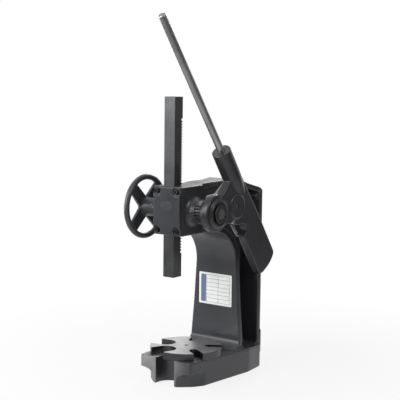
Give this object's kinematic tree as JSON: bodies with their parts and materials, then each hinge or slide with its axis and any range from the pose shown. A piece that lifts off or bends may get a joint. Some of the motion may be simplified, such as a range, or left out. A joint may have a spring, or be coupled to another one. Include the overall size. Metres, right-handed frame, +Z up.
{
  "type": "arbor press",
  "caption": "Ratchet-lever arbor press: cast frame, toothed square ram, pinion shaft with handwheel, counterweighted lever with pawl, slotted turning table.",
  "frame": {"origin": "on the underside of the base, below the middle of the column", "axes": "+Z up, -Y towards the operator, +X to the operator's right (the lever's side)"},
  "size_m": [0.3472, 0.6742, 1.2556],
  "materials": {
    "frame_paint": "semi-gloss charcoal enamel on a casting",
    "cap_paint": "semi-gloss charcoal enamel on a casting",
    "cap_screw_steel": "dark plated steel",
    "bronze": "turned bronze",
    "ram_steel": "ground steel, grey",
    "pinion_steel": "turned steel",
    "key_steel": "drawn key steel",
    "washer_steel": "ground steel",
    "ratchet_steel": "hardened dark steel",
    "handwheel_paint": "semi-gloss charcoal enamel on a casting",
    "set_screw_steel": "black oxide",
    "lever_paint": "semi-gloss charcoal enamel on a casting",
    "collar_steel": "black oxide",
    "rod_steel": "drawn steel",
    "pawl_steel": "bright steel",
    "pin_steel": "ground steel",
    "spring_steel": "bright wire",
    "bright_screw_steel": "zinc plated",
    "table_steel": "ground top, dark edge",
    "card": "printed plastic card with plain colour bands"
  },
  "bodies": {
    "frame": {"frame_casting": "frame_paint", "ram_cap": "cap_paint", "cap_screw_1": "cap_screw_steel", "cap_screw_2": "cap_screw_steel", "cap_screw_3": "cap_screw_steel", "cap_screw_4": "cap_screw_steel", "left_bushing": "bronze", "right_bushing": "bronze", "table_pin": "pin_steel", "record_card": "card"},
    "ram": {"ram": "ram_steel"},
    "pinion": {"pinion_shaft": "pinion_steel", "handwheel": "handwheel_paint", "handwheel_key": "key_steel", "handwheel_set_screw": "set_screw_steel", "thrust_washer": "washer_steel", "ratchet_wheel": "ratchet_steel", "ratchet_key": "key_steel", "end_collar": "collar_steel"},
    "lever": {"lever_casting": "lever_paint", "lever_bushing": "bronze", "lever_rod": "rod_steel", "rod_screw": "set_screw_steel", "pawl_pin": "pin_steel", "pawl_stop_screw": "bright_screw_steel", "spring_anchor": "pin_steel"},
    "pawl": {"pawl": "pawl_steel", "spring_post": "pin_steel", "pawl_spring": "spring_steel"},
    "table": {"table_plate": "table_steel"}
  },
  "joints": [
    {"name": "ram_slide", "type": "slide", "parent": "frame", "child": "ram", "axis": [0, 0, 1], "range_m": [-0.24438, 0.12219]},
    {"name": "pinion_spin", "type": "hinge", "parent": "frame", "child": "pinion", "pos_m": [0, -0.28759, 0.6012], "axis": [1, 0, 0], "range_deg": [-316, 631]},
    {"name": "lever_swing", "type": "hinge", "parent": "frame", "child": "lever", "pos_m": [0, -0.28759, 0.6012], "axis": [1, 0, 0], "range_deg": [0, 105]},
    {"name": "pawl_swing", "type": "hinge", "parent": "lever", "child": "pawl", "pos_m": [0.1006, -0.18598, 0.61718], "axis": [1, 0, 0], "range_deg": [0, 7], "deforming": ["pawl_spring"]},
    {"name": "table_spin", "type": "hinge", "parent": "frame", "child": "table", "pos_m": [0, -0.2435, 0.1048], "axis": [0, 0, 1], "continuous": true}
  ],
  "couplings": [
    {"joint": "pinion_spin", "follows": "ram_slide", "rad_per_m": -44.994}
  ]
}
